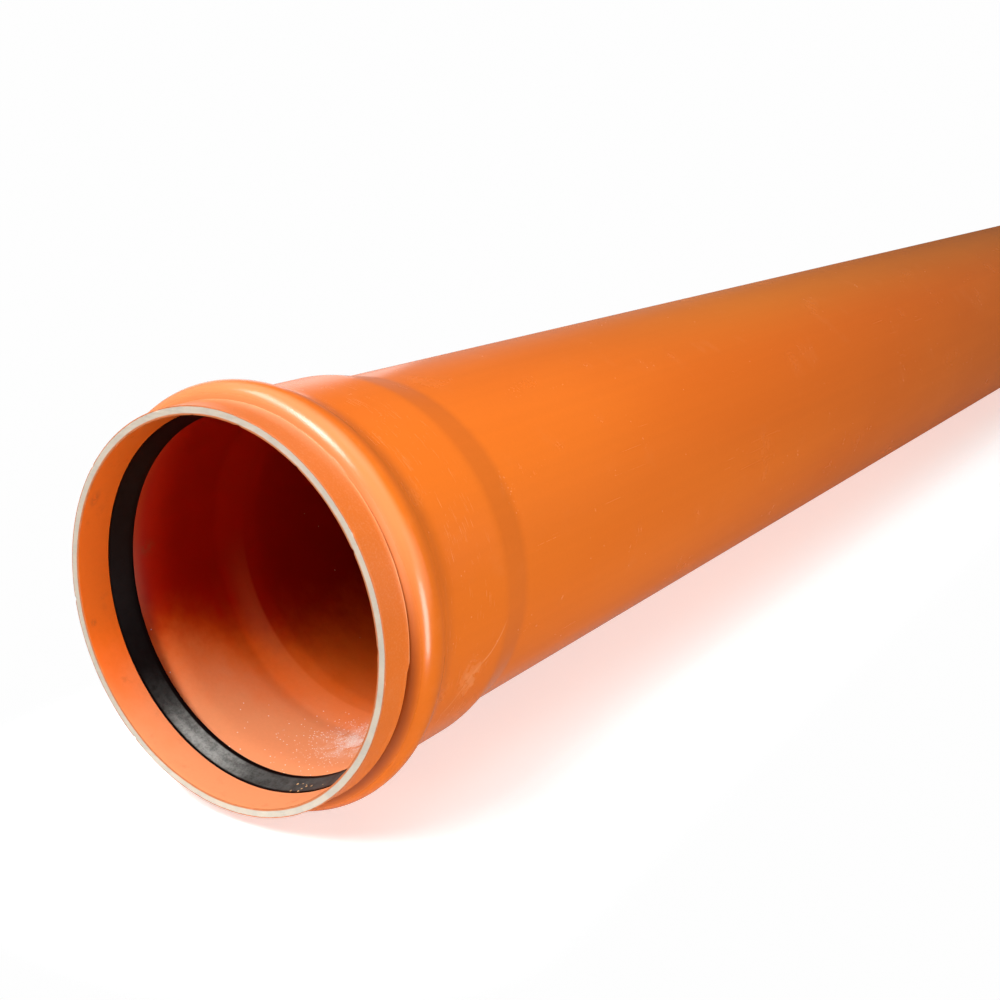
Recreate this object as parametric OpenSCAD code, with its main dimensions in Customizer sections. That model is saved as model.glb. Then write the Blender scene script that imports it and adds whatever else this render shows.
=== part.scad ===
// Drain and sewer pipe with a formed socket and its rubber sealing ring.
// The pipe lies on a level floor, socket towards -Y, plain end towards +Y.
// It rests on the bead of the socket and on the plain end, so its axis falls
// very slightly towards the plain end. Z = 0 is the floor.

/* [Pipe] */
// Outside diameter of the barrel (nominal size DN/OD)
pipe_od = 200; // [195:1:210]
// Wall thickness of the barrel
wall = 4.9; // [3.9:0.1:5.5]
// Laying length, from the plain end to the socket's shoulder
laying_length = 2000; // [500:100:5000]

/* [Socket] */
// Depth of the socket, from the mouth to the start of the shoulder
socket_depth = 98.5; // [90:0.5:130]
// Gap on radius between a pipe of pipe_od and the inside of the socket
socket_gap = 0.4; // [0.2:0.1:0.8]
// Wall thickness of the socket, thinned by widening
socket_wall = 4.4; // [3.6:0.1:4.8]
// Outside radius of the mouth lip over that of the barrel
lip_rise = 5.3; // [5:0.1:6]
// Slope of the shoulder between socket and barrel, in degrees
shoulder_angle = 10.5; // [9:0.5:18]
// Radius that blends each end of the shoulder
shoulder_blend = 41; // [18:1:45]

/* [Bead] */
// Distance from the mouth to the crest of the bead
bead_pos = 29.5; // [29:0.5:34]
// Height of the bead's crest over the outside of the barrel
bead_rise = 13.2; // [12.6:0.1:14]
// Radius of the bead's steep front
bead_front = 11; // [10.5:0.1:11.5]
// Radius of the bead's crest towards the barrel
bead_back = 18; // [15:0.5:20]
// Slope of the bead's rear flank, in degrees
bead_slope = 30; // [26:1:32]
// Radius that blends the rear flank into the socket
bead_fillet = 30; // [22:1:32]

/* [Edges] */
// Length of the chamfer round the plain end
chamfer_length = 9; // [5:0.5:12]
// Slope of that chamfer, in degrees
chamfer_angle = 15; // [12:1:16]
// Break of the edges of the sawn ends
edge_break = 0.3; // [0.1:0.1:0.5]

/* [Sealing ring] */
// Inside diameter of the ring at its sealing lip, before a pipe opens it
ring_id = 193.6; // [192.6:0.2:195.6]
// Distance from the mouth to the ring's front edge
ring_front = 20.6; // [20.4:0.1:20.9]
// Distance from the ring's front edge to the tip of its lip
ring_lip = 13.2; // [12.6:0.2:13.8]

/* [Hidden] */
arc_step = 5;      // degrees of a section's arc between two points
ring_play = 0.05;  // keeps the ring's faces off the groove's

// Radii, all about the pipe's axis
ro = pipe_od / 2;          // outside of the barrel
ri = ro - wall;            // bore of the barrel
rsi = ro + socket_gap;     // inside of the socket
rso = rsi + socket_wall;   // outside of the socket
rl = ro + lip_rise;        // outside of the mouth lip
rb = ro + bead_rise;       // crest of the bead
rbi = rb - socket_wall;    // roof of the groove under the bead
rt = ring_id / 2;          // tip of the ring's lip

// Distances along the axis, all from the mouth
total = laying_length + socket_depth;
chamfer_y = total - chamfer_length;
end_r = ro - chamfer_length * tan(chamfer_angle);

// Shoulder: an arc, a straight flank and an arc, outside and inside
sa = shoulder_angle;
flank_o = (rso - ro - 2 * shoulder_blend * (1 - cos(sa))) / sin(sa);
sh0 = socket_depth;
sh3 = sh0 + 2 * shoulder_blend * sin(sa) + flank_o * cos(sa);
blend_i = (sh3 - sh0 - (rsi - ri) / tan(sa)) / (2 * tan(sa / 2));

// Bead: front arc from the crease, back arc, straight flank, fillet
bs = bead_slope;
crease_r = rl - 0.3;
front_c = [rb - bead_front, bead_pos];
crease = [crease_r, bead_pos - sqrt(pow(bead_front, 2) - pow(crease_r - front_c[0], 2))];
back_c = [rb - bead_back, bead_pos];
back_t = back_c + bead_back * [cos(bs), sin(bs)];
fil_r = rso + bead_fillet * (1 - cos(bs));
fil_c = [rso + bead_fillet,
         back_t[1] + (back_t[0] - fil_r) / tan(bs) + bead_fillet * sin(bs)];

// Groove under the bead: the same curves, one wall thickness further in
groove_f = bead_front - socket_wall;
groove_b = bead_back - socket_wall;
groove_fil = bead_fillet + socket_wall;
// Front wall of the groove: a tangent from its corner to the front arc
corner = [rsi, ring_front];
cv = front_c - corner;
cd = norm(cv);
ca = atan2(cv[0], cv[1]) + asin(groove_f / cd);
gt = corner + sqrt(cd * cd - groove_f * groove_f) * [sin(ca), cos(ca)];
ga = atan2(gt[1] - front_c[1], gt[0] - front_c[0]);
// End of the ring's heel, on the rear flank of the groove
heel = back_c + (groove_b - ring_play) * [cos(bs), sin(bs)] + 2.2 * [-sin(bs), cos(bs)];

// How the pipe lies: on the crest of the bead and the end of the straight barrel
lie = asin((rb - ro) / (chamfer_y - bead_pos));
mouth_z = rb * cos(lie) + bead_pos * sin(lie);
mouth_y = -(total * cos(lie) + (end_r - rl) * sin(lie)) / 2;

// Points along an arc about c, from angle a0 to a1. Points are [radius,
// distance from the mouth], and angle 0 looks straight out from the axis.
function arc(c, r, a0, a1) = let (n = max(2, ceil(abs(a1 - a0) / arc_step)))
    [for (i = [0:n]) let (a = a0 + (a1 - a0) * i / n) c + r * [cos(a), sin(a)]];
function bearing(c, p) = atan2(p[1] - c[1], p[0] - c[0]);

// Outside of the pipe, from the mouth to the plain end
outer = concat(
    [[rl - edge_break, 0], [rl, edge_break]],
    arc(front_c, bead_front, bearing(front_c, crease), 0),
    [for (p = arc(back_c, bead_back, 0, bs)) if (p[1] > bead_pos) p],
    arc(fil_c, bead_fillet, 180 + bs, 180),
    arc([rso - shoulder_blend, sh0], shoulder_blend, 0, sa),
    arc([ro + shoulder_blend, sh3], shoulder_blend, 180 + sa, 180),
    [[ro, chamfer_y], [end_r, total]]);

// Inside of the pipe, from the plain end back to the mouth
inner = concat(
    [[ri + edge_break, total], [ri, total - edge_break]],
    arc([ri + blend_i, sh3], blend_i, 180, 180 + sa),
    arc([rsi - blend_i, sh0], blend_i, sa, 0),
    arc(fil_c, groove_fil, 180, 180 + bs),
    arc(back_c, groove_b, bs, 0),
    [for (p = arc(front_c, groove_f, 0, ga)) if (p[1] < bead_pos) p],
    [corner, [rsi, edge_break], [rsi + edge_break, 0]]);

// Turns a half section about the pipe's axis, and lays that axis along +Y as
// the pipe rests on the floor.
module turned(section) {
    translate([0, mouth_y, mouth_z]) rotate([-90 - lie, 0, 0])
        rotate_extrude($fn = 180) polygon(section);
}

module pipe() {
    color([0.86, 0.40, 0.10]) turned(concat(outer, inner));
}

// Rubber ring: a heel that fills the front of the groove, and a lip that
// slopes in over the bore with a hollow behind it.
module sealing_ring() {
    g = ring_play;
    y = ring_front + ring_lip;
    color([0.07, 0.07, 0.07]) turned(concat(
        [corner + [-0.3, g], corner + [0, 2 * g]],
        [for (p = arc(front_c, groove_f - g, ga, 0)) p],
        [for (p = arc(back_c, groove_b - g, 0, bs)) if (p[1] > bead_pos) p],
        [heel, heel + [-2.2, 0.7], heel + [-4.2, -3.2],
         [rt + 3.4, y - 3.2], [rt + 1.8, y + 1.2], [rt + 0.9, y + 1.5],
         [rt + 0.2, y + 1.2], [rt, y + 0.6], [rt + 0.15, y - 0.6]]));
}

pipe();
sealing_ring();
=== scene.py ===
import math

import bpy
import numpy as np
from mathutils import Matrix, Vector


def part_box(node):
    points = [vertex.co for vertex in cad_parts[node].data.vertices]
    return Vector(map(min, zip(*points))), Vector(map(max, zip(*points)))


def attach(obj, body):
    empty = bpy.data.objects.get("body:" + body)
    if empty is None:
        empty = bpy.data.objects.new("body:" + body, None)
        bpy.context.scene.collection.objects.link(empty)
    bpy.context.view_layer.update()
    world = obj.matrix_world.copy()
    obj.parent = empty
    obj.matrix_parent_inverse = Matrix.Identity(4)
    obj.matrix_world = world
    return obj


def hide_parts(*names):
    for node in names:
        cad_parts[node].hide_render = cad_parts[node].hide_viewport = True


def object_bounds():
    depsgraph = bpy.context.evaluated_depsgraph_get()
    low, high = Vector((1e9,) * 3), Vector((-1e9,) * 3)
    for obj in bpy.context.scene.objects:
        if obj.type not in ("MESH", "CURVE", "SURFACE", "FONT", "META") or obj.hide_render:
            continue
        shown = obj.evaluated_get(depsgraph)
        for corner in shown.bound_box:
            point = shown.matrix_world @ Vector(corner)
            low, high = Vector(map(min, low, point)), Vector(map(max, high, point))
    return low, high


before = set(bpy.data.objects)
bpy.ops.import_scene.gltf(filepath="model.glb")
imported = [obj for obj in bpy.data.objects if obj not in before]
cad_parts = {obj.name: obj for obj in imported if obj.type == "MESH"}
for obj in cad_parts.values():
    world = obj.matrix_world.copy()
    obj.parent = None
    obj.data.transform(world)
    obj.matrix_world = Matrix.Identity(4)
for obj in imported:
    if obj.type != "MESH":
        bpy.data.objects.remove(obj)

cad_lo, cad_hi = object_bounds()
pipe_lo, pipe_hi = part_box("pipe")
rng = np.random.default_rng(20)

# ---------------------------------------------------------------------------
# The pipe's sizes, as in the CAD model, in millimetres from its mouth and axis
# ---------------------------------------------------------------------------
RO, RI = 100.0, 95.1          # barrel: outside, bore
RSI, RSO = 100.4, 104.8       # socket: inside, outside
RL = 105.3                    # mouth lip, outside
RB = (pipe_hi.x - pipe_lo.x) * 500.0   # crest of the bead
SW = RSO - RSI                # socket wall
BEAD, FRONT, BACK, SLOPE, FILLET = 29.5, 11.0, 18.0, 30.0, 30.0
DEPTH, TOTAL = 98.5, 2098.5 - 0.02   # the end is a hair inside the CAD model's
SHOULDER, BLEND = 10.5, 41.0
CHAMFER, CHAMFER_ANGLE = 9.0, 15.0
EDGE = 0.3
RING_FRONT, RING_TIP, RING_LIP = 20.6, 96.8, 13.2

CHAMFER_Y = TOTAL - CHAMFER
END_R = RO - CHAMFER * math.tan(math.radians(CHAMFER_ANGLE))
LIE = math.asin((RB - RO) / (CHAMFER_Y - BEAD))   # fall of the axis towards +Y

# Where the mouth's centre is, from the CAD box: the bead's crest is on the
# floor, and the lowest corner along Y is the bottom of the mouth's outer edge.
MOUTH = Vector((
    (pipe_lo.x + pipe_hi.x) / 2,
    pipe_lo.y + (RL - EDGE) / 1000 * math.sin(LIE) + 8e-6,
    pipe_lo.z + (RB * math.cos(LIE) + BEAD * math.sin(LIE)) / 1000 + 1e-6))
RB -= 0.003                    # from here on, the visible crest: a hair inside the CAD model's
TO_ROW = Matrix.Rotation(-LIE, 3, "X")   # the pipe's own axes to the row's


def to_row(p):
    """A point in the pipe's own axes (m, origin at the mouth, +Y along it)."""
    return MOUTH + TO_ROW @ Vector(p)


# ---------------------------------------------------------------------------
# Camera
# ---------------------------------------------------------------------------
cam_data = bpy.data.cameras.new("camera")
cam = bpy.data.objects.new("camera", cam_data)
bpy.context.scene.collection.objects.link(cam)
bpy.context.scene.camera = cam
cam_data.lens, cam_data.sensor_width = 49.83, 36.0
cam_data.clip_start, cam_data.clip_end = 0.02, 60.0
right = Vector((0.8350, 0.5504, 0.0)).normalized()
ahead = Vector((-0.5310, 0.8055, -0.2632)).normalized()
above = right.cross(ahead).normalized()
right = ahead.cross(above).normalized()
turn = Matrix((right, above, -ahead)).transposed()
cam.matrix_world = Matrix.Translation(to_row((0.4699, -0.4592, 0.23465))) @ (TO_ROW @ turn).to_4x4()


# ---------------------------------------------------------------------------
# Node helpers
# ---------------------------------------------------------------------------
class Nodes:
    """Builds one material's nodes. Sockets go in and come out; numbers and tuples go in as they are."""

    def __init__(self, name, shade=True):
        self.mat = bpy.data.materials.new(name)
        self.mat.use_nodes = True
        self.t = self.mat.node_tree
        self.t.nodes.clear()
        self.out = self.t.nodes.new("ShaderNodeOutputMaterial")
        self.bsdf = self.t.nodes.new("ShaderNodeBsdfPrincipled")
        self.t.links.new(self.bsdf.outputs[0], self.out.inputs[0])
        coord = self.t.nodes.new("ShaderNodeTexCoord")
        moved = self.vec("SUBTRACT", coord.outputs["Object"], tuple(MOUTH))
        m = self.t.nodes.new("ShaderNodeMapping")
        m.vector_type = "POINT"
        self.t.links.new(moved, m.inputs["Vector"])
        m.inputs["Rotation"].default_value = (LIE, 0, 0)
        m.inputs["Scale"].default_value = (1000, 1000, 1000)
        self.p = m.outputs[0]          # millimetres in the pipe's own axes
        s = self.t.nodes.new("ShaderNodeSeparateXYZ")
        self.t.links.new(self.p, s.inputs[0])
        self.x, self.y, self.z = s.outputs
        self.r = self.math("SQRT", self.math("ADD", self.math("MULTIPLY", self.x, self.x),
                                             self.math("MULTIPLY", self.z, self.z)))
        self.phi = self.math("MULTIPLY", self.math("ARCTAN2", self.x, self.z), 180 / math.pi)

    def _in(self, socket, v):
        if isinstance(v, bpy.types.NodeSocket):
            self.t.links.new(v, socket)
        elif v is not None:
            if isinstance(v, (tuple, list)) and len(v) == 3 and socket.type == "RGBA":
                v = (*v, 1.0)
            socket.default_value = v

    def math(self, op, a, b=None, c=None, clamp=False):
        n = self.t.nodes.new("ShaderNodeMath")
        n.operation, n.use_clamp = op, clamp
        for s, v in zip(n.inputs, (a, b, c)):
            self._in(s, v)
        return n.outputs[0]

    def vec(self, op, a, b=None):
        n = self.t.nodes.new("ShaderNodeVectorMath")
        n.operation = op
        self._in(n.inputs[0], a)
        if op == "SCALE":
            self._in(n.inputs[3], b)
        elif b is not None:
            self._in(n.inputs[1], b)
        return n.outputs["Value"] if op in ("LENGTH", "DISTANCE", "DOT_PRODUCT") else n.outputs[0]

    def at(self, x, y, z):
        n = self.t.nodes.new("ShaderNodeCombineXYZ")
        for s, v in zip(n.inputs, (x, y, z)):
            self._in(s, v)
        return n.outputs[0]

    def scaled(self, sx, sy, sz, shift=(0, 0, 0)):
        """The pipe coordinates times these, so a pattern has that many waves a millimetre each way."""
        v = self.vec("MULTIPLY", self.p, (sx, sy, sz))
        return self.vec("ADD", v, shift)

    def noise(self, v, scale=1.0, detail=2.0, rough=0.5, lac=2.0, distort=0.0):
        n = self.t.nodes.new("ShaderNodeTexNoise")
        self._in(n.inputs["Vector"], v)
        for k, q in (("Scale", scale), ("Detail", detail), ("Roughness", rough), ("Lacunarity", lac), ("Distortion", distort)):
            self._in(n.inputs[k], q)
        return n.outputs[0]

    def cells(self, v, scale=1.0, feature="F1", random=1.0):
        """(distance to the nearest cell's middle, a random colour of that cell)."""
        n = self.t.nodes.new("ShaderNodeTexVoronoi")
        n.feature = feature
        self._in(n.inputs["Vector"], v)
        self._in(n.inputs["Scale"], scale)
        self._in(n.inputs["Randomness"], random)
        return n.outputs["Distance"], n.outputs["Color"]

    def ramp(self, v, lo, hi, a=0.0, b=1.0, smooth=True):
        """a below lo, b above hi."""
        n = self.t.nodes.new("ShaderNodeMapRange")
        n.interpolation_type = "SMOOTHSTEP" if smooth else "LINEAR"
        n.clamp = True
        for s, q in zip(n.inputs, (v, lo, hi, a, b)):
            self._in(s, q)
        return n.outputs[0]

    def band(self, v, a, b, soft):
        """1 between a and b, falling to 0 over soft on both sides."""
        return self.math("MULTIPLY", self.ramp(v, a - soft, a), self.ramp(v, b, b + soft, 1.0, 0.0))

    def mul(self, *vs):
        out = vs[0]
        for v in vs[1:]:
            out = self.math("MULTIPLY", out, v)
        return out

    def add(self, *vs):
        out = vs[0]
        for v in vs[1:]:
            out = self.math("ADD", out, v)
        return out

    def mix(self, f, a, b, kind="MIX"):
        n = self.t.nodes.new("ShaderNodeMix")
        n.data_type, n.blend_type = "RGBA", kind
        n.clamp_factor = True
        self._in(n.inputs[0], f)
        self._in(n.inputs[6], a)
        self._in(n.inputs[7], b)
        return n.outputs[2]

    def bright(self, colour, amount):
        """colour times amount, a number that varies over the surface."""
        n = self.t.nodes.new("ShaderNodeVectorMath")
        n.operation = "SCALE"
        self._in(n.inputs[0], colour)
        self._in(n.inputs[3], amount)
        return n.outputs[0]

    def spot(self, phi, y, half_phi, half_y, soft=1.0):
        """1 in the middle of an oval at that angle and distance from the mouth, 0 outside it."""
        turn_ = self.math("WRAP", self.math("SUBTRACT", self.phi, phi), 180.0, -180.0)
        a = self.math("DIVIDE", turn_, half_phi)
        b = self.math("DIVIDE", self.math("SUBTRACT", self.y, y), half_y)
        d = self.math("SQRT", self.add(self.mul(a, a), self.mul(b, b)))
        return self.ramp(d, 1.0 - soft, 1.0, 1.0, 0.0)

    def bump(self, *heights):
        """heights are (value, millimetres) pairs, summed to one height in metres."""
        total = None
        for v, mm in heights:
            h = self.math("MULTIPLY", v, mm / 1000.0)
            total = h if total is None else self.math("ADD", total, h)
        n = self.t.nodes.new("ShaderNodeBump")
        n.inputs["Strength"].default_value = 1.0
        n.inputs["Distance"].default_value = 1.0
        self._in(n.inputs["Height"], total)
        self.t.links.new(n.outputs[0], self.bsdf.inputs["Normal"])

    def set(self, **inputs):
        for k, v in inputs.items():
            self._in(self.bsdf.inputs[k.replace("_", " ")], v)
        return self.mat


def lin(r, g, b):
    """sRGB 0..255 to the linear numbers of a shader."""
    return tuple((c / 255 / 12.92) if c / 255 <= 0.04045 else ((c / 255 + 0.055) / 1.055) ** 2.4 for c in (r, g, b))


# ---------------------------------------------------------------------------
# Materials
# ---------------------------------------------------------------------------
ORANGE = (0.675, 0.146, 0.0120)
ORANGE_DEEP = (0.62, 0.124, 0.0090)
ORANGE_TOP_SHEEN = (0.70, 0.220, 0.0200)
ORANGE_PALE = (0.86, 0.38, 0.17)
INSIDE_LIP_LIT = (0.66, 0.120, 0.0110)
INSIDE = (0.50, 0.012, 0.0009)
INSIDE_DEEP = (0.44, 0.009, 0.0008)
INSIDE_LIT = (0.86, 0.140, 0.0120)
INSIDE_DUSTY_SHEEN = (0.80, 0.280, 0.120)
CREAM = (0.54, 0.460, 0.370)


def pvc_outside():
    n = Nodes("pvc_outside")
    # colour: slow drift, streaks from the extruder along the pipe, fine mottle
    drift = n.noise(n.scaled(0.006, 0.0016, 0.006), detail=3, rough=0.55)
    streak = n.noise(n.scaled(0.16, 0.0012, 0.16, (7, 0, 3)), detail=4, rough=0.6)
    mottle = n.noise(n.scaled(0.55, 0.55, 0.55), detail=3, rough=0.6)
    base = n.mix(n.ramp(drift, 0.35, 0.68), ORANGE, ORANGE_DEEP)
    base = n.bright(base, n.add(0.93, n.mul(streak, 0.08), n.mul(mottle, 0.06)))
    # painted sheen: the top of the barrel is painted paler and yellower, more so further from the mouth
    base = n.mix(n.mul(n.ramp(n.y, 180.0, 620.0, 0.0, 0.45), n.ramp(n.math("ABSOLUTE", n.math("SUBTRACT", n.phi, 2.0)), 8.0, 46.0, 1.0, 0.0)), base, ORANGE_TOP_SHEEN)
    # the lip is duller than the rest, with a little dust on it
    base = n.bright(base, n.add(n.ramp(n.y, 16.6, 18.4, 0.87, 1.0), n.mul(n.ramp(n.y, 16.6, 18.4, 0.07, 0.0), n.ramp(n.math("ABSOLUTE", n.phi), 60.0, 90.0))))
    base = n.mix(n.mul(n.ramp(n.y, 16.6, 18.4, 1.0, 0.0), n.ramp(n.math("ABSOLUTE", n.phi), 20.0, 75.0, 0.03, 0.01)), base, (0.80, 0.62, 0.50))
    haze = n.ramp(n.noise(n.scaled(0.9, 0.9, 0.9, (4, 2, 6)), detail=4, rough=0.75), 0.46, 0.70)
    base = n.mix(n.mul(haze, n.ramp(n.y, 16.6, 18.4, 0.09, 0.0)), base, (0.86, 0.54, 0.36))
    # painted sheen: a pale film on the upper part of the bead's front, where the light from the front falls, and along
    # the top of the lip's back edge
    base = n.mix(n.mul(n.band(n.y, 18.6, 24.5, 4.0), n.ramp(n.math("ABSOLUTE", n.phi), 55.0, 100.0, 0.25, 0.0)), base, (0.82, 0.44, 0.24))
    base = n.mix(n.mul(n.ramp(n.y, 8.0, 16.0, 0.0, 0.16), n.ramp(n.y, 16.6, 18.0, 1.0, 0.0), n.ramp(n.math("ABSOLUTE", n.phi), 15.0, 60.0, 1.0, 0.0)), base, (0.86, 0.56, 0.36))
    # scuffs that run round the socket, denser behind the bead
    breakup = n.ramp(n.noise(n.scaled(0.07, 0.10, 0.07, (0, 5, 0)), detail=4, rough=0.65), 0.50, 0.60)
    lines = n.ramp(n.noise(n.scaled(0.05, 2.6, 0.05), detail=2, rough=0.7), 0.60, 0.70)
    where = n.add(n.mul(n.band(n.y, 56, 84, 14), n.ramp(n.math("ABSOLUTE", n.math("SUBTRACT", n.phi, 25.0)), 30.0, 60.0, 1.25, 0.6)), n.mul(n.band(n.y, 100, 135, 20), 0.04))
    scuff = n.mul(lines, breakup, where)
    # long fine scratches along the barrel
    drag = n.mul(n.ramp(n.noise(n.scaled(1.5, 0.010, 1.5, (2, 1, 9)), detail=2, rough=0.6), 0.66, 0.74),
                 n.ramp(n.noise(n.scaled(0.02, 0.006, 0.02, (1, 8, 2)), detail=2), 0.54, 0.70))
    # pale specks of dust
    d, c = n.cells(n.p, 0.42)
    pick = n.t.nodes.new("ShaderNodeSeparateColor")
    n.t.links.new(c, pick.inputs[0])
    thick = n.ramp(n.noise(n.scaled(0.02, 0.02, 0.02, (4, 4, 4)), detail=2), 0.40, 0.65, 0.9990, 0.988)
    speck = n.mul(n.math("GREATER_THAN", pick.outputs[0], thick), n.ramp(d, 0.10, 0.20, 1.0, 0.0))
    # the bead's crest is rubbed, and a pale line along the lip's ridge is a painted highlight where the ridge catches
    # the light
    crest = n.mul(n.ramp(n.r, RB - 0.9, RB - 0.1), n.ramp(n.noise(n.scaled(0.12, 0.12, 0.12), detail=4, rough=0.7), 0.50, 0.66))
    ridge_highlight = n.mul(n.band(n.y, GAP_Y - 0.75, GAP_Y - 0.1, 0.25), n.ramp(n.noise(n.scaled(0.07, 0.07, 0.07, (3, 1, 4)), detail=3), 0.30, 0.60, 0.35, 1.0))
    smudge = n.mul(n.ramp(n.noise(n.scaled(0.03, 0.03, 0.03, (9, 2, 5)), detail=4, rough=0.6), 0.56, 0.75), 0.25)
    # a whitish scuff low on the right of the socket, and a hairline that runs from it to the shoulder
    rub = n.mul(n.spot(110.5, 76, 9, 13), n.ramp(n.noise(n.scaled(0.13, 0.13, 0.13, (2, 6, 3)), detail=6, rough=0.78, distort=0.3), 0.38, 0.74))
    along = n.math("SUBTRACT", n.phi, n.add(154.0, n.mul(n.y, -0.55), n.mul(n.math("SINE", n.mul(n.y, 0.22)), 1.2)))
    hair = n.mul(n.ramp(n.math("ABSOLUTE", along), 0.15, 0.45, 1.0, 0.0), n.band(n.y, 66, 99, 5))
    graze = n.mul(n.spot(62, 130, 12, 8), n.ramp(n.noise(n.scaled(0.5, 0.5, 0.5, (7, 7, 2)), detail=3), 0.60, 0.70))
    pale = n.add(n.mul(rub, 0.60), n.mul(hair, 0.42), n.mul(graze, 0.7), n.mul(scuff, 0.38), n.mul(drag, 0.010), n.mul(crest, 0.03), n.mul(ridge_highlight, 0.60), n.mul(smudge, 0.18))
    colour = n.mix(pale, base, ORANGE_PALE)
    colour = n.mix(n.mul(speck, 0.11), colour, (0.88, 0.60, 0.40))
    # painted shade in the gap in front of the bead, strongest down the right and underneath, where the lip shades the
    # bead
    dirt_and_gap_shade = n.mul(n.ramp(n.r, 106.2, 111.5, 1.0, 0.0), n.band(n.y, GAP_Y + 0.15, 22.0, 0.12),
                 n.ramp(n.math("ABSOLUTE", n.math("SUBTRACT", n.phi, 128.0)), 30.0, 62.0, 1.0, 0.22))
    colour = n.mix(n.mul(dirt_and_gap_shade, 0.66), colour, (0.24, 0.036, 0.0022))
    # the bead is the glossiest part, the sawn-off lip the dullest
    bead = n.ramp(n.r, RSO + 2.2, RB - 4.0)
    rough = n.add(n.ramp(n.y, 16.5, 19.0, 0.26, 0.20), n.mul(bead, -0.03), n.mul(n.noise(n.scaled(0.04, 0.012, 0.04), detail=3), 0.08), n.mul(mottle, 0.03), n.mul(rub, 0.25), n.mul(dirt_and_gap_shade, 0.2),
                  n.mul(scuff, 0.16), n.mul(drag, 0.028), n.mul(crest, 0.04), n.mul(smudge, 0.10), n.mul(speck, 0.18))
    n.bump((n.noise(n.scaled(0.30, 0.30, 0.30), detail=2), 0.010), (n.noise(n.scaled(1.6, 1.6, 1.6), detail=3), 0.0035),
           (streak, 0.020), (scuff, -0.02), (drag, -0.003), (speck, 0.008), (hair, -0.03))
    return n.set(Base_Color=colour, Roughness=rough, IOR=1.54, Specular_IOR_Level=0.35)


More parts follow.
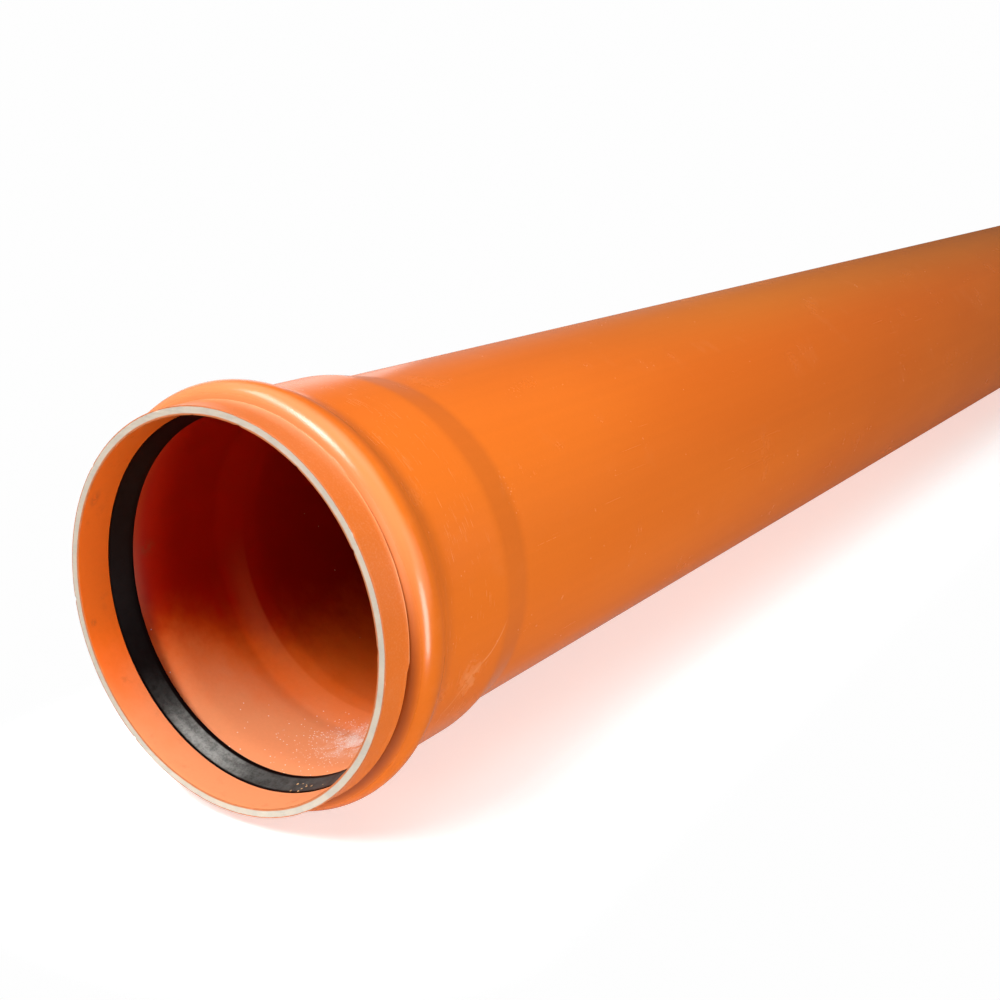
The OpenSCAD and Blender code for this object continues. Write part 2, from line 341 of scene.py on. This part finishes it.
def pvc_inside():
    n = Nodes("pvc_inside")
    drift = n.noise(n.scaled(0.010, 0.003, 0.010, (3, 0, 8)), detail=3, rough=0.55)
    mottle = n.noise(n.scaled(0.45, 0.45, 0.45, (5, 5, 5)), detail=4, rough=0.65)
    base = n.mix(n.ramp(drift, 0.35, 0.68), INSIDE, INSIDE_DEEP)
    # painted light: the lip's wall in front of the ring is painted paler, as lit by light grazing in from the side, and
    # a little of that painted light glows just behind the ring
    base = n.mix(n.add(n.ramp(n.y, 20.5, 24.0, 1.0, 0.0), n.mul(n.ramp(n.y, 34.0, 48.0, 0.72, 0.0), n.math("GREATER_THAN", n.y, 24.0))), base, INSIDE_LIP_LIT)
    # painted light: lower down, where the light through the mouth falls, a lit, less deep red is painted, and the
    # inside is darker further in; a thin pale film there is partly dust and partly painted sheen, thicker near the
    # mouth
    uneven = n.noise(n.scaled(0.035, 0.035, 0.035, (6, 2, 8)), detail=4, rough=0.6)
    # height on the wall for the painted light's edge, which sits lower further in, as the light through the mouth does
    height = n.add(n.z, n.mul(n.math("SUBTRACT", uneven, 0.5), 36.0), n.ramp(n.y, 55.0, 125.0, -4.0, 20.0))
    base = n.bright(base, n.ramp(n.y, 105.0, 150.0, 1.0, 0.84))
    base = n.mix(n.ramp(height, -22.0, -66.0), base, INSIDE_LIT)
    sheen_and_dust_film = n.mul(n.ramp(n.add(height, n.ramp(n.y, 60.0, 115.0, 0.0, 16.0)), -38.0, -96.0), n.ramp(n.y, 100.0, 165.0, 1.0, 0.05))
    base = n.mix(sheen_and_dust_film, base, INSIDE_DUSTY_SHEEN)
    # painted light and shade low down, where the light falls: the socket's taper is painted paler, with a soft painted
    # shade line at its start, and the bore past it is darker
    low = n.ramp(n.z, 5.0, -60.0)
    base = n.mix(n.mul(n.ramp(n.y, SH0 + 2.0, SH3 - 16.0), n.ramp(n.y, SH3 - 13.0, SH3 - 10.6, 1.0, 0.0), low, 0.30), base, (0.95, 0.27, 0.085))
    base = n.bright(base, n.add(1.0, n.mul(n.ramp(n.y, SH3 - 13.0, SH3 - 10.0), n.ramp(n.y, SH3 + 20.0, SH3 + 90.0, 1.0, 0.3), -0.05)))
    base = n.mix(n.mul(n.band(n.y, SH0 - 3.0, SH0 - 0.5, 5.0), low, 0.13), base, (0.50, 0.080, 0.012))
    base = n.bright(base, n.add(0.94, n.mul(mottle, 0.10)))
    # grime rubbed off on the lip, with a few dark smudges
    grime = n.mul(n.ramp(n.y, 19.0, 21.0, 1.0, 0.25), n.ramp(n.noise(n.scaled(0.10, 0.10, 0.10, (1, 2, 3)), detail=5, rough=0.7), 0.55, 0.80))
    marks = n.add(n.spot(-63, 6.0, 4.5, 5.0), n.spot(-104, 5.0, 2.2, 3.0), n.spot(-87, 49, 4.0, 8.0))
    marks = n.mul(marks, n.ramp(n.noise(n.scaled(0.35, 0.35, 0.35), detail=4, rough=0.7), 0.35, 0.62))
    colour = n.mix(n.add(n.mul(grime, 0.22), n.mul(marks, 0.45)), base, (0.20, 0.055, 0.020))
    # white dust that lies at the bottom of the socket
    near = n.spot(174, 86, 27, 46)
    core = n.spot(172, 92, 17, 33)
    wide = n.spot(-172, 62, 40, 48)
    cloud = n.noise(n.scaled(0.15, 0.06, 0.15, (2, 7, 1)), detail=6, rough=0.78)
    d, c = n.cells(n.p, 0.85)
    pick = n.t.nodes.new("ShaderNodeSeparateColor")
    n.t.links.new(c, pick.inputs[0])
    chance = n.add(n.mul(near, 0.62), n.mul(core, 0.90), n.mul(wide, 0.08), 0.0003)
    chance = n.mul(chance, n.ramp(cloud, 0.28, 0.60))
    grain = n.mul(n.math("LESS_THAN", pick.outputs[0], chance), n.ramp(d, 0.18, 0.36, 1.0, 0.0))
    powder = n.mul(core, n.ramp(cloud, 0.38, 0.60))
    colour = n.mix(n.mul(powder, 0.66), colour, (0.92, 0.80, 0.74))
    colour = n.mix(n.mul(grain, 0.92), colour, (0.95, 0.90, 0.86))
    rough = n.add(0.36, n.mul(mottle, 0.10), n.mul(grain, 0.2), n.mul(powder, 0.25), n.mul(grime, 0.15))
    n.bump((n.noise(n.scaled(0.25, 0.25, 0.25, (1, 1, 1)), detail=2), 0.012), (mottle, 0.006), (grain, 0.12), (powder, 0.02))
    return n.set(Base_Color=colour, Roughness=rough, IOR=1.54, Specular_IOR_Level=0.12)


def pvc_sawn():
    """The sawn faces and the chamfer: an orange skin on each side of a pale foamed core."""
    n = Nodes("pvc_sawn")
    far = n.math("GREATER_THAN", n.y, 1000.0)
    out_skin = n.add(RL - 0.45, n.mul(far, RO - RL))          # radius where the outer skin starts
    in_skin = n.add(RSI + 0.75, n.mul(far, RI - RSI))         # radius where the inner skin ends
    wave = n.mul(n.math("SUBTRACT", n.noise(n.scaled(0.05, 0.05, 0.05), detail=3), 0.5), 0.8)
    r = n.add(n.r, wave)
    skin = n.add(n.ramp(r, n.math("SUBTRACT", out_skin, 0.35), out_skin), n.ramp(r, in_skin, n.add(in_skin, 0.6), 1.0, 0.0))
    pore = n.noise(n.scaled(1.8, 1.8, 1.8), detail=4, rough=0.7)
    blotch = n.noise(n.scaled(0.09, 0.09, 0.09, (6, 1, 6)), detail=4, rough=0.6)
    saw = n.noise(n.vec("MULTIPLY", n.p, (0.35, 1.0, 4.2)), detail=3, rough=0.6)
    core = n.mix(n.ramp(blotch, 0.38, 0.66), CREAM, (0.47, 0.415, 0.345))
    core = n.bright(core, n.add(0.84, n.mul(pore, 0.18), n.mul(saw, 0.16)))
    edge = n.bright((0.52, 0.14, 0.035), n.add(0.80, n.mul(pore, 0.3)))
    colour = n.mix(skin, core, edge)
    # dirt on the sawn faces
    dirt_and_gap_shade = n.ramp(n.noise(n.scaled(0.22, 0.22, 0.22, (8, 8, 1)), detail=4, rough=0.7), 0.60, 0.78)
    colour = n.mix(n.mul(dirt_and_gap_shade, 0.30), colour, (0.30, 0.20, 0.12))
    n.bump((saw, 0.06), (pore, 0.05), (blotch, 0.02))
    return n.set(Base_Color=colour, Roughness=n.add(0.62, n.mul(pore, 0.2)), IOR=1.5)


def rubber():
    n = Nodes("ring_rubber")
    blotch = n.noise(n.scaled(0.20, 0.20, 0.20, (3, 3, 1)), detail=5, rough=0.68)
    fine = n.noise(n.scaled(0.8, 0.8, 0.8), detail=4, rough=0.7)
    moulded = n.noise(n.scaled(0.03, 3.0, 0.03), detail=2)
    # dust low down, mostly to the left of the bottom, with clean edges; its grey is partly painted sheen of the light
    # falling there, and a brighter streak near the front is a painted highlight
    low = n.add(n.mul(n.spot(-157, 28, 24, 60, 0.9), 1.15), n.mul(n.spot(-152, 24.6, 17, 3.6), 0.60), n.mul(n.ramp(n.z, -50, -95), 0.40))
    lumps = n.ramp(n.math("ADD", n.mul(blotch, 0.65), n.mul(fine, 0.35)), 0.34, 0.64, 0.38, 1.0)
    dust_and_sheen = n.mul(lumps, n.add(0.02, low), n.band(n.y, 22.3, 31.6, 1.0))
    colour = n.mix(n.mul(dust_and_sheen, 0.60), (0.0024, 0.0009, 0.0010), (0.27, 0.280, 0.265))
    d, c = n.cells(n.p, 0.35)
    pick = n.t.nodes.new("ShaderNodeSeparateColor")
    n.t.links.new(c, pick.inputs[0])
    crumbs = n.mul(n.math("LESS_THAN", pick.outputs[0], n.mul(n.spot(162, 24, 10, 11), 0.75)), n.ramp(d, 0.14, 0.28, 1.0, 0.0))
    colour = n.mix(n.mul(crumbs, 0.9), colour, (0.75, 0.45, 0.20))
    rough = n.add(0.30, n.mul(dust_and_sheen, 0.22), n.mul(fine, 0.14))
    n.bump((moulded, 0.012), (fine, 0.010), (blotch, 0.03), (crumbs, 0.25))
    return n.set(Base_Color=colour, Roughness=rough, IOR=1.50, Specular_IOR_Level=0.09)


def floor_material():
    """A pale floor, plain near the pipe and fading into the pale surroundings further off."""
    n = Nodes("floor")
    grain = n.noise(n.scaled(0.002, 0.002, 0.002), detail=4)
    n.set(Base_Color=n.mix(grain, (0.73, 0.80, 0.82), (0.76, 0.83, 0.85)), Roughness=0.7, Specular_IOR_Level=0.2,
          Emission_Color=(1.0, 1.0, 1.0), Emission_Strength=0.52)     # a floor with some light of its own, as on a light table
    half = (pipe_hi.y - pipe_lo.y) * 500.0
    past = n.mul(n.math("MAXIMUM", n.math("SUBTRACT", n.math("ABSOLUTE", n.math("SUBTRACT", n.y, half)), half), 0.0), 1.5)
    away = n.math("SQRT", n.add(n.mul(n.x, n.x), n.mul(past, past)))
    clear = n.t.nodes.new("ShaderNodeBsdfTransparent")
    both = n.t.nodes.new("ShaderNodeMixShader")
    n.t.links.new(n.ramp(away, 50.0, 210.0), both.inputs[0])
    n.t.links.new(n.bsdf.outputs[0], both.inputs[1])
    n.t.links.new(clear.outputs[0], both.inputs[2])
    n.t.links.new(both.outputs[0], n.out.inputs[0])
    return n.mat


# ---------------------------------------------------------------------------
# Profiles: [radius, distance from the mouth] in millimetres
# ---------------------------------------------------------------------------
def arc(c, r, a0, a1, step=2.5):
    k = max(2, math.ceil(abs(a1 - a0) / step - 1e-9))
    return [(c[0] + r * math.cos(math.radians(a0 + (a1 - a0) * i / k)),
             c[1] + r * math.sin(math.radians(a0 + (a1 - a0) * i / k))) for i in range(k + 1)]


def line(a, b, k):
    """k points between a and b, without either."""
    return [(a[0] + (b[0] - a[0]) * i / (k + 1), a[1] + (b[1] - a[1]) * i / (k + 1)) for i in range(1, k + 1)]


def bearing(c, p):
    return math.degrees(math.atan2(p[1] - c[1], p[0] - c[0]))


sa, bs = math.radians(SHOULDER), math.radians(SLOPE)
flank = (RSO - RO - 2 * BLEND * (1 - math.cos(sa))) / math.sin(sa)
SH0 = DEPTH
SH3 = SH0 + 2 * BLEND * math.sin(sa) + flank * math.cos(sa)
blend_i = (SH3 - SH0 - (RSI - RI) / math.tan(sa)) / (2 * math.tan(sa / 2))
front_c, back_c = (RB - FRONT, BEAD), (RB - BACK, BEAD)
GAP_DEPTH = 2.6                 # the narrow gap between the lip's ridge and the bead
gap_r = RL - GAP_DEPTH + 0.3
crease = (gap_r, BEAD - math.sqrt(FRONT ** 2 - (gap_r - front_c[0]) ** 2))
GAP_Y = BEAD - FRONT - 0.45     # where the ridge ends and the gap starts
back_t = (back_c[0] + BACK * math.cos(bs), back_c[1] + BACK * math.sin(bs))
fil_r = RSO + FILLET * (1 - math.cos(bs))
fil_c = (RSO + FILLET, back_t[1] + (back_t[0] - fil_r) / math.tan(bs) + FILLET * math.sin(bs))
groove_f, groove_b, groove_fil = FRONT - SW, BACK - SW, FILLET + SW
corner = (RSI, RING_FRONT)
cv = (front_c[0] - corner[0], front_c[1] - corner[1])
cd = math.hypot(*cv)
ca = math.atan2(cv[0], cv[1]) + math.asin(groove_f / cd)
gl = math.sqrt(cd * cd - groove_f * groove_f)
gt = (corner[0] + gl * math.sin(ca), corner[1] + gl * math.cos(ca))
ga = bearing(front_c, gt)

OUTSIDE, SAWN, INNER = 0, 1, 2


def pipe_profile():
    """The pipe's closed section as (radius, distance, zone of the strip that follows, fine ring)."""
    p = []

    def run(zone, pts, fine=False):
        p.extend((r, y, zone, fine) for r, y in pts)

    # lip, bead, socket, shoulder and barrel, outside
    lip = (RL, EDGE + 1.2)
    run(OUTSIDE, [(RL, EDGE + 0.5), lip], True)
    run(OUTSIDE, line(lip, (RL, GAP_Y - 1.8), 5))
    run(OUTSIDE, [(RL, GAP_Y - 1.8), (RL + 0.05, GAP_Y - 1.3), (RL + 0.13, GAP_Y - 0.85), (RL + 0.17, GAP_Y - 0.5),
                  (RL + 0.13, GAP_Y - 0.24), (RL - 0.02, GAP_Y - 0.06), (RL - 0.25, GAP_Y + 0.02), (RL - 0.75, GAP_Y + 0.06),
                  (RL - 1.4, GAP_Y + 0.10), (RL - GAP_DEPTH + 0.15, GAP_Y + 0.20), (RL - GAP_DEPTH, GAP_Y + 0.45)])
    run(OUTSIDE, arc(front_c, FRONT, bearing(front_c, crease), 0, 3.0))
    run(OUTSIDE, arc(back_c, BACK, 0, SLOPE, 3.0)[1:])
    run(OUTSIDE, line(back_t, (fil_r, fil_c[1] - FILLET * math.sin(bs)), 1))
    run(OUTSIDE, arc(fil_c, FILLET, 180 + SLOPE, 180, 3.0))
    run(OUTSIDE, line((RSO, fil_c[1]), (RSO, SH0), 9))
    run(OUTSIDE, arc((RSO - BLEND, SH0), BLEND, 0, SHOULDER, 1.5))
    run(OUTSIDE, arc((RO + BLEND, SH3), BLEND, 180 + SHOULDER, 180, 1.5))
    run(OUTSIDE, line((RO, SH3), (RO, CHAMFER_Y), 44))
    # chamfer and the sawn plain end
    run(SAWN, [(RO, CHAMFER_Y)] + line((RO, CHAMFER_Y), (END_R, TOTAL), 5))
    run(SAWN, [(END_R + 0.06, TOTAL - 0.22), (END_R - 0.12, TOTAL)])
    run(SAWN, line((END_R - 0.12, TOTAL), (RI + EDGE, TOTAL), 4) + [(RI + EDGE, TOTAL)])
    # bore, shoulder, socket and groove, inside
    run(INNER, [(RI, TOTAL - EDGE)] + line((RI, TOTAL - EDGE), (RI, SH3), 44))
    run(INNER, arc((RI + blend_i, SH3), blend_i, 180, 180 + SHOULDER, 1.5))
    run(INNER, arc((RSI - blend_i, SH0), blend_i, SHOULDER, 0, 1.5))
    run(INNER, line((RSI, SH0), (RSI, fil_c[1]), 9))
    run(INNER, arc(fil_c, groove_fil, 180, 180 + SLOPE, 4.0))
    run(INNER, arc(back_c, groove_b, SLOPE, 0, 5.0))
    run(INNER, arc(front_c, groove_f, 0, ga, 6.0)[1:])
    run(INNER, [(RSI + 0.14, RING_FRONT + 0.05), (RSI, RING_FRONT - 0.14)])
    run(INNER, line((RSI, RING_FRONT - 0.14), (RSI, EDGE + 1.2), 7))
    run(INNER, [(RSI, EDGE + 1.2)])
    run(INNER, [(RSI, EDGE + 0.5)], True)
    # edge breaks and the sawn face of the mouth
    run(SAWN, [(RSI, EDGE), (RSI + EDGE * 0.45, EDGE * 0.3), (RSI + EDGE, 0.0)], True)
    run(SAWN, line((RSI + EDGE, 0.0), (RL - EDGE, 0.0), 9), True)
    run(SAWN, [(RL - EDGE, 0.0), (RL - EDGE * 0.45, EDGE * 0.3)], True)
    run(OUTSIDE, [(RL, EDGE)], True)
    # the first point is fine and follows on
    return p


SEGS, FINER = 288, 4


def wobble(phi, seed, waves, amp):
    """A smooth closed curve in phi, about amp high."""
    g = np.random.default_rng(seed)
    out = np.zeros_like(phi)
    for k in waves:
        out += g.normal() * np.cos(k * phi + g.uniform(0, 2 * np.pi)) / math.sqrt(len(waves))
    return amp * out


def revolve(name, profile, shape=None, uv_rows=None):
    """A closed turned mesh. Rings marked fine have FINER times as many points. shape(radius, y, phi, ring) may move a ring's points."""
    verts, rings = [], []
    for i, (r, y, zone, fine) in enumerate(profile):
        k = SEGS * (FINER if fine else 1)
        phi = np.arange(k) * 2 * np.pi / k
        rr, yy = np.full(k, float(r)), np.full(k, float(y))
        if shape is not None:
            rr, yy = shape(rr, yy, phi, i)
        pts = np.stack([rr * np.sin(phi), yy, rr * np.cos(phi)], 1) / 1000
        rings.append((len(verts), k))
        verts.extend(pts)
    verts = np.array(verts)
    rot = np.array(TO_ROW)
    verts = verts @ rot.T + np.array(MOUTH)
    faces, zones, corner_uv = [], [], []
    count = len(profile)
    for i in range(count):
        j = (i + 1) % count
        (a, ka), (b, kb) = rings[i], rings[j]
        va, vb = uv_rows[i] if uv_rows else (0.0, 1.0)
        zone = profile[i][2] if profile[i][2] == profile[j][2] or profile[i][2] != SAWN else SAWN
        k = min(ka, kb)
        for s in range(k):
            fa = [a + (s * ka // k + q) % ka for q in range(ka // k + 1)]
            fb = [b + (s * kb // k + q) % kb for q in range(kb // k + 1)]
            ua = [(s * ka // k + q) / ka for q in range(ka // k + 1)]
            ub = [(s * kb // k + q) / kb for q in range(kb // k + 1)]
            faces.append(fa + fb[::-1])
            zones.append(zone)
            corner_uv.extend([(0.002 + 0.996 * u, va) for u in ua] + [(0.002 + 0.996 * u, vb) for u in ub[::-1]])
    mesh = bpy.data.meshes.new(name)
    mesh.from_pydata([tuple(v) for v in verts], [], faces)
    mesh.polygons.foreach_set("material_index", np.array(zones, np.int32))
    mesh.polygons.foreach_set("use_smooth", np.ones(len(faces), bool))
    uv = mesh.uv_layers.new(name="OFBake")
    uv.uv.foreach_set("vector", np.array(corner_uv, np.float32).ravel())
    mesh.validate()
    mesh.update()
    mesh.set_sharp_from_angle(angle=math.radians(34))
    ob = bpy.data.objects.new(name, mesh)
    bpy.context.scene.collection.objects.link(ob)
    return ob


def rows(profile, bands):
    """The bake map's height of each strip's two edges. bands are (zone test, from, to, share of the map) in the order of the section."""
    n = len(profile)
    length = [math.hypot(profile[(i + 1) % n][0] - profile[i][0], profile[(i + 1) % n][1] - profile[i][1]) for i in range(n)]
    which = [next(k for k, b in enumerate(bands) if b[0](profile[i], profile[(i + 1) % n])) for i in range(n)]
    out, gap = [None] * n, 0.006
    v = gap
    for k, (_, share) in enumerate(bands):
        mine = [i for i in range(n) if which[i] == k]
        # start at the first strip whose predecessor isn't in the band, so a band that wraps stays whole
        start = next((i for i in mine if which[(i - 1) % n] != k), mine[0])
        order = [(start + q) % n for q in range(n) if which[(start + q) % n] == k]
        whole = sum(length[i] for i in order) or 1.0
        at = 0.0
        for i in order:
            out[i] = (v + share * at / whole, v + share * (at + length[i]) / whole)
            at += length[i]
        v += share + gap
    return out


# Small damage to the mouth: (angle, outer edge or inner edge, half width mm, depth mm)
NICKS = [(-18, 0, 1.2, 0.45), (12, 1, 1.6, 0.35), (-33, 1, 1.1, 0.5), (57, 0, 1.3, 0.5), (61, 1, 1.0, 0.4),
         (88, 1, 1.8, 0.35), (96, 0, 1.4, 0.4), (128, 1, 1.2, 0.3), (151, 0, 1.5, 0.4), (-160, 1, 1.3, 0.3),
         (-141, 0, 1.0, 0.35), (-118, 1, 1.7, 0.35), (-96, 0, 1.2, 0.4), (-71, 1, 1.4, 0.4), (-52, 0, 1.1, 0.3),
         (34, 1, 1.0, 0.3), (-5, 1, 1.0, 0.25), (112, 0, 0.9, 0.3), (170, 1, 1.2, 0.3)]


def smooth(v, lo, hi):
    t = np.clip((v - lo) / (hi - lo), 0.0, 1.0)
    return t * t * (3 - 2 * t)


def pipe_shape(profile):
    last = len(profile) - 1

    def shape(r, y, phi, i):
        r0, y0, zone, fine = profile[i]
        if fine and y0 < 2.0:
            # uneven saw cut on the face, and nicks on its edges
            middle = (RL + RSI) / 2
            if zone == SAWN and y0 < 0.05:
                x, z = r * np.sin(phi), r * np.cos(phi)
                y = y + 0.035 * (1 + np.sin(z * 2 * np.pi / 2.3 + 1.5 * np.sin(x / 17.0))) + np.abs(wobble(phi, 5 + i, (61, 97, 143, 201), 0.02))
            for deg, inner, half, depth in NICKS:
                s = (np.degrees(phi) - deg + 180) % 360 - 180
                s = np.radians(s) * r0
                edge = (RSI if inner else RL)
                t = math.hypot(r0 - edge, y0)
                w = depth * np.exp(-(s / half) ** 2) * math.exp(-(t / 0.7) ** 2)
                r = r + w * (1 if inner else -1) * 0.8
                y = y + w * 0.8
        elif zone == OUTSIDE and y0 < BEAD - FRONT + 1.5:
            deg = (np.degrees(phi) + 180) % 360 - 180
            # the gap is nearly closed at the top, open down the right, and wide from one place on,
            # where the lip's edge steps back from the bead and stands out
            wide = smooth(deg, 93.6, 96.5) * (1 - smooth(deg, 160, 179))
            open_ = 0.14 + 0.86 * smooth(deg, 34, 66) * (1 - smooth(deg, 168, 180)) + 0.55 * smooth(-deg, 40, 90) * (1 - smooth(-deg, 140, 170))
            if r0 < RL - 0.1:
                r = RL - 0.1 - (RL - 0.1 - r0) * open_ * (1 + wobble(phi, 3, (7, 13, 19, 29), 0.08))
            if y0 < GAP_Y + 0.5:
                near = math.exp(-((y0 - GAP_Y) / 4.0) ** 2)
                step = 1.75 * wide - 0.10 * np.exp(-((deg - 92.8) / 0.9) ** 2)
                y = y - near * step + math.exp(-((y0 - GAP_Y) / 1.4) ** 2) * wobble(phi, 4, (5, 9, 14, 23, 37), 0.07)
                lift = math.exp(-((y0 - GAP_Y + 0.5) / 1.5) ** 2)
                if r0 > RL - 0.1:
                    r = r + lift * (0.28 * wide + 0.12 * np.exp(-((deg - 95.0) / 1.2) ** 2))
        return r, y

    return shape


profile = pipe_profile()
inner_half = lambda a, b: a[2] == INNER
bands = [
    (lambda a, b: SAWN in (a[2],) and a[1] < 5, 0.035),
    (lambda a, b: a[2] == SAWN, 0.03),
    (lambda a, b: a[2] == OUTSIDE and a[1] < SH3 + 1e-6, 0.30),
    (lambda a, b: a[2] == OUTSIDE, 0.24),
    (lambda a, b: a[2] == INNER and a[1] > SH3 + 1e-6, 0.11),
    (lambda a, b: a[2] == INNER, 0.22),
]
pipe = revolve("pipe_body", profile, pipe_shape(profile), rows(profile, bands))
for m in (pvc_outside(), pvc_sawn(), pvc_inside()):
    pipe.data.materials.append(m)
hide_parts("pipe")
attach(pipe, "root")


# ---------------------------------------------------------------------------
# Sealing ring
# ---------------------------------------------------------------------------
def ring_profile():
    g = 0.08
    y = RING_FRONT + RING_LIP
    heel = (back_c[0] + (groove_b - g) * math.cos(bs) - 2.2 * math.sin(bs),
            back_c[1] + (groove_b - g) * math.sin(bs) + 2.2 * math.cos(bs))
    a, b = (corner[0] - 0.3, corner[1] + g), (RING_TIP + 0.15, y - 0.6)
    pts = [a, (corner[0] - 0.04, corner[1] + 1.9 * g), (corner[0] + 0.10, corner[1] + 3.2 * g)]
    pts += arc(front_c, groove_f - g, ga, 0, 8.0)
    pts += arc(back_c, groove_b - g, 0, SLOPE, 6.0)[1:]
    pts += [heel, (heel[0] - 0.9, heel[1] + 0.75), (heel[0] - 2.2, heel[1] + 0.6), (heel[0] - 3.4, heel[1] - 1.2),
            (heel[0] - 4.2, heel[1] - 3.2), (RING_TIP + 3.4, y - 3.2), (RING_TIP + 2.6, y - 1.0), (RING_TIP + 1.8, y + 1.2),
            (RING_TIP + 1.4, y + 1.42), (RING_TIP + 0.9, y + 1.48), (RING_TIP + 0.5, y + 1.36), (RING_TIP + 0.2, y + 1.1),
            (RING_TIP + 0.05, y + 0.75), (RING_TIP + 0.01, y + 0.3), (RING_TIP + 0.04, y - 0.15), b]
    pts += [(b[0] + (a[0] - b[0]) * t, b[1] + (a[1] - b[1]) * t) for t in np.linspace(0, 1, 12)[1:-1]]
    return [(r, yy, 0, False) for r, yy in pts]


ring_section = ring_profile()
ring = revolve("seal_ring", ring_section, None, rows(ring_section, [(lambda a, b: True, 0.98)]))
ring.data.materials.append(rubber())
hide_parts("sealing_ring")
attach(ring, "root")


# ---------------------------------------------------------------------------
# Floor and light
# ---------------------------------------------------------------------------
def disc(name, radius, rings=24, segs=96):
    verts, faces = [(0.0, 0.0, 0.0)], []
    for i in range(1, rings + 1):
        rad = radius * (i / rings) ** 1.6
        verts += [(rad * math.cos(2 * math.pi * s / segs), rad * math.sin(2 * math.pi * s / segs), 0.0) for s in range(segs)]
    for s in range(segs):
        faces.append((0, 1 + s, 1 + (s + 1) % segs))
    for i in range(rings - 1):
        a = 1 + i * segs
        for s in range(segs):
            t = (s + 1) % segs
            faces.append((a + s, a + segs + s, a + segs + t, a + t))
    mesh = bpy.data.meshes.new(name)
    mesh.from_pydata(verts, [], faces)
    mesh.update()
    ob = bpy.data.objects.new(name, mesh)
    bpy.context.scene.collection.objects.link(ob)
    return ob


floor = disc("floor", 30.0)
floor.location = (0.0, 0.0, cad_lo.z - 0.0002)
floor.data.materials.append(floor_material())
floor.visible_glossy = False     # the pipe's gloss shows the lamps and the surroundings only


def softbox(name, azimuth, elevation, distance, size, power, target=(0.0, 0.15, 0.0)):
    """A soft area light round the mouth. Azimuth 0 is in front of the mouth and 90 to its right."""
    a, e = math.radians(azimuth), math.radians(elevation)
    way = Vector((math.sin(a) * math.cos(e), -math.cos(a) * math.cos(e), math.sin(e)))
    data = bpy.data.lights.new(name, "AREA")
    data.shape, data.size, data.size_y = "RECTANGLE", size[0], size[1]
    data.energy = power
    ob = bpy.data.objects.new(name, data)
    bpy.context.scene.collection.objects.link(ob)
    ob.location = to_row(target) + way * distance
    ob.rotation_mode = "QUATERNION"
    ob.rotation_quaternion = (-way).to_track_quat("-Z", "Y")
    ob.visible_camera = False
    return ob


softbox("key", -14, 55, 2.2, (0.80, 0.50), 28)
softbox("key_low", -2, 46, 2.2, (0.80, 0.50), 28)
softbox("key_left", -52, 56, 2.2, (0.90, 0.50), 16)
softbox("front", 14, 5, 2.0, (0.7, 1.3), 5.5)
softbox("side", 77, -8, 2.0, (0.70, 1.10), 34)
softbox("far_side", 85, 14, 2.2, (2.6, 1.3), 14, (0.0, 1.1, 0.0))
softbox("ceiling", 120, 68, 1.8, (1.6, 1.0), 5, (0.0, 0.0, 0.0))
softbox("overhead", -60, 76, 2.0, (2.4, 2.4), 10, (-0.1, 0.7, 0.0))
softbox("rim", -131, 11, 2.0, (0.75, 0.60), 1.3)

world = bpy.data.worlds.new("studio")
bpy.context.scene.world = world
world.use_nodes = True
wt = world.node_tree
wt.nodes.clear()
w_out = wt.nodes.new("ShaderNodeOutputWorld")
w_seen, w_light = wt.nodes.new("ShaderNodeBackground"), wt.nodes.new("ShaderNodeBackground")
w_seen.inputs[0].default_value = (0.99, 0.99, 0.99, 1)
# the surroundings give light from behind the mouth on the left, and hardly any from elsewhere
w_way, w_turn, w_from = wt.nodes.new("ShaderNodeTexCoord"), wt.nodes.new("ShaderNodeVectorMath"), wt.nodes.new("ShaderNodeMapRange")
w_turn.operation = "DOT_PRODUCT"
w_turn.inputs[1].default_value = (-1.0, 0.0, -0.35)
wt.links.new(w_way.outputs["Generated"], w_turn.inputs[0])
wt.links.new(w_turn.outputs["Value"], w_from.inputs[0])
w_from.interpolation_type = "SMOOTHSTEP"
for socket, value in zip(w_from.inputs[1:5], (0.24, 0.62, 0.075, 0.30)):
    socket.default_value = value
w_light.inputs[0].default_value = (1.0, 1.0, 1.0, 1)
wt.links.new(w_from.outputs[0], w_light.inputs[1])
w_path, w_mix = wt.nodes.new("ShaderNodeLightPath"), wt.nodes.new("ShaderNodeMixShader")
wt.links.new(w_path.outputs["Is Camera Ray"], w_mix.inputs[0])
wt.links.new(w_light.outputs[0], w_mix.inputs[1])
wt.links.new(w_seen.outputs[0], w_mix.inputs[2])
wt.links.new(w_mix.outputs[0], w_out.inputs[0])

bpy.context.scene.view_settings.view_transform = "Standard"
